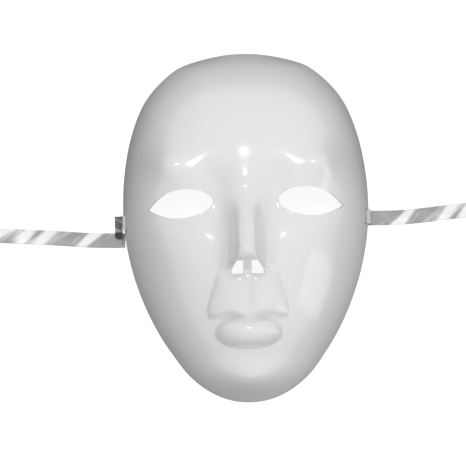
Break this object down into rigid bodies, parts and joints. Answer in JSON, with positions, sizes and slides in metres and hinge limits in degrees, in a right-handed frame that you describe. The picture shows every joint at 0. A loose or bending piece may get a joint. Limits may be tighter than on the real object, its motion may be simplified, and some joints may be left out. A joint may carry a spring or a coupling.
{
  "type": "full-face costume mask",
  "caption": "Blank glossy white full-face mask with almond eye holes, nostril holes and a satin ribbon tied to each side slot.",
  "frame": {"origin": "middle of the shell's footprint, in the plane its rim rests on", "axes": "+X to the viewer's right across the face, +Y from chin to forehead, +Z out of the face"},
  "size_m": [0.434, 0.24, 0.0778],
  "materials": {
    "shell_plastic": "high gloss white",
    "satin_ribbon": "white satin",
    "sealed_ribbon": "dark heat-sealed edge"
  },
  "bodies": {
    "shell": {"mask_shell": "shell_plastic"},
    "left_ribbon": {"left_ribbon_loop": "satin_ribbon", "left_ribbon_strand": "satin_ribbon", "left_ribbon_fold": "satin_ribbon", "left_ribbon_tail": "satin_ribbon", "left_ribbon_sealed_end": "sealed_ribbon", "left_ribbon_coil": "satin_ribbon"},
    "right_ribbon": {"right_ribbon_loop": "satin_ribbon", "right_ribbon_strand": "satin_ribbon", "right_ribbon_coil": "satin_ribbon"}
  },
  "joints": [
    {"name": "left_ribbon_swing", "type": "hinge", "parent": "shell", "child": "left_ribbon", "pos_m": [-0.0835, 0.0059, 0.0025], "axis": [0, 1, 0], "range_deg": [0, 75]},
    {"name": "right_ribbon_swing", "type": "hinge", "parent": "shell", "child": "right_ribbon", "pos_m": [0.0835, 0.0059, 0.0025], "axis": [0, -1, 0], "range_deg": [0, 75]}
  ]
}
